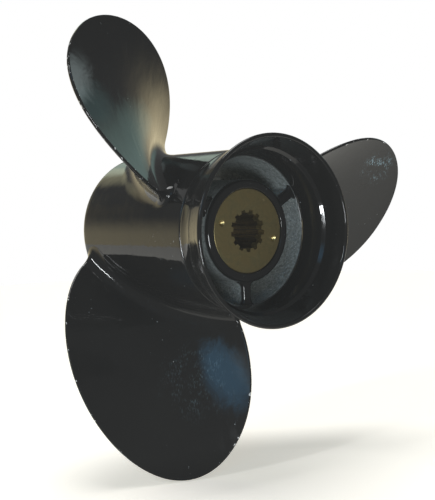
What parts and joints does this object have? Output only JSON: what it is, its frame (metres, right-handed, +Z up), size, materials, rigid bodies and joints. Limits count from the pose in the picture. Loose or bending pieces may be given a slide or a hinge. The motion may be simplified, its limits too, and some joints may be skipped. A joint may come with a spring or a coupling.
{
  "type": "boat propeller",
  "caption": "Outboard boat propeller: cupped helical blades on an exhaust barrel with a flared diffuser ring, driven through a rubber cushion hub and a splined brass sleeve.",
  "frame": {"origin": "on the shaft axis, at the forward thrust face of the splined sleeve", "axes": "+Y forward along the shaft (the way the boat goes ahead), +Z up, +X to starboard; aft end towards -Y"},
  "size_m": [0.2405, 0.127, 0.2519],
  "materials": {
    "black_paint": "gloss black enamel over cast aluminium",
    "rough_casting": "thin dark paint over rough as-cast aluminium",
    "brass": "dulled machined brass",
    "rubber": "matt black"
  },
  "bodies": {
    "core": {"spline_sleeve": "brass", "rubber_bush": "rubber", "end_plate": "brass"},
    "wheel": {"outer_barrel": "black_paint", "diffuser_ring": "black_paint", "inner_hub": "rough_casting", "rib_1": "rough_casting", "rib_2": "rough_casting", "rib_3": "rough_casting", "blade_1": "black_paint", "blade_2": "black_paint", "blade_3": "black_paint"}
  },
  "joints": [
    {"name": "cushion_twist", "type": "hinge", "parent": "core", "child": "wheel", "pos_m": [0, -0.045, 0], "axis": [0, 1, 0], "range_deg": [-10, 10], "stiffness_Nm_per_rad": 690}
  ]
}
